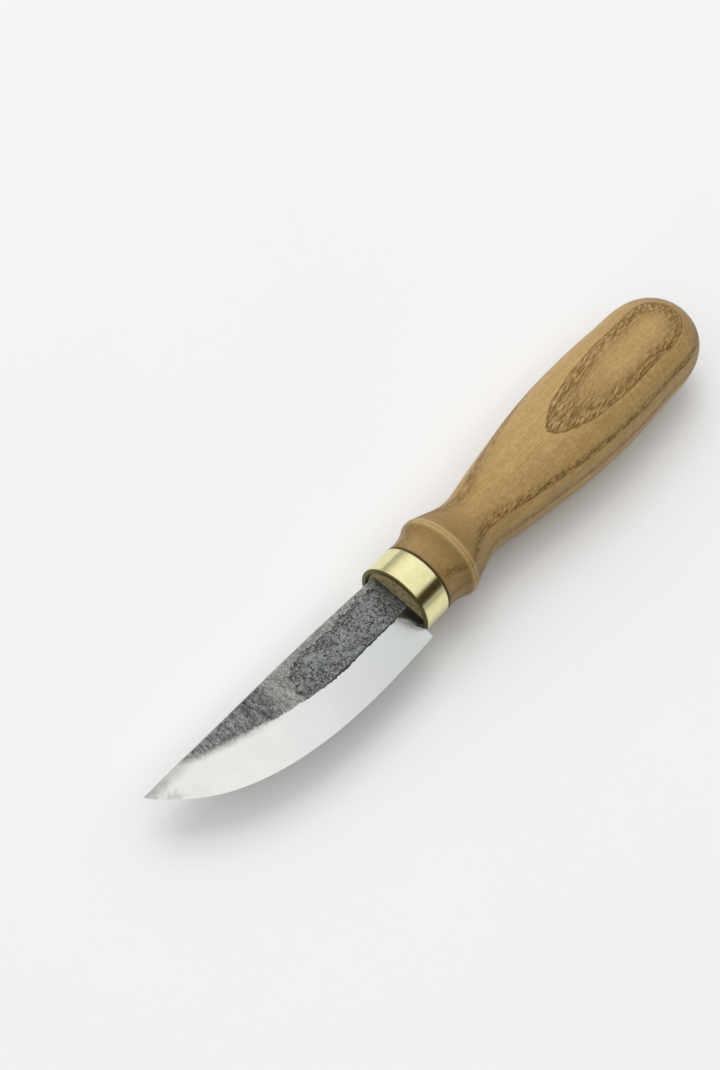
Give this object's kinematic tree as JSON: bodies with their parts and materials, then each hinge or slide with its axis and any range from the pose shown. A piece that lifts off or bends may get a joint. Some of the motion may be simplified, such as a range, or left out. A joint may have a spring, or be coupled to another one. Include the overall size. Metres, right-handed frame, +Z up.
{
  "type": "whittling knife",
  "caption": "Woodcarving knife with a forged, convex-edged fixed blade, a brass ferrule and an oval ash handle with a turned collar and rounded butt.",
  "frame": {"origin": "on the surface that the knife lies on, under the middle of the whole knife's length and width", "axes": "+X from the butt to the blade's tip, +Y across the blade from the spine to the cutting edge, +Z up, square to the blade's flat"},
  "size_m": [0.212, 0.0306, 0.0258],
  "materials": {
    "blade_steel": "dark forge scale on the flats and the spine, bright satin ground bevels",
    "ferrule_brass": "turned and polished",
    "handle_ash": "oiled, open-grained ash, satin",
    "tang_epoxy": "dark tinted epoxy"
  },
  "bodies": {
    "root": {"blade": "blade_steel", "ferrule": "ferrule_brass", "handle": "handle_ash", "tang_adhesive": "tang_epoxy"}
  },
  "joints": []
}
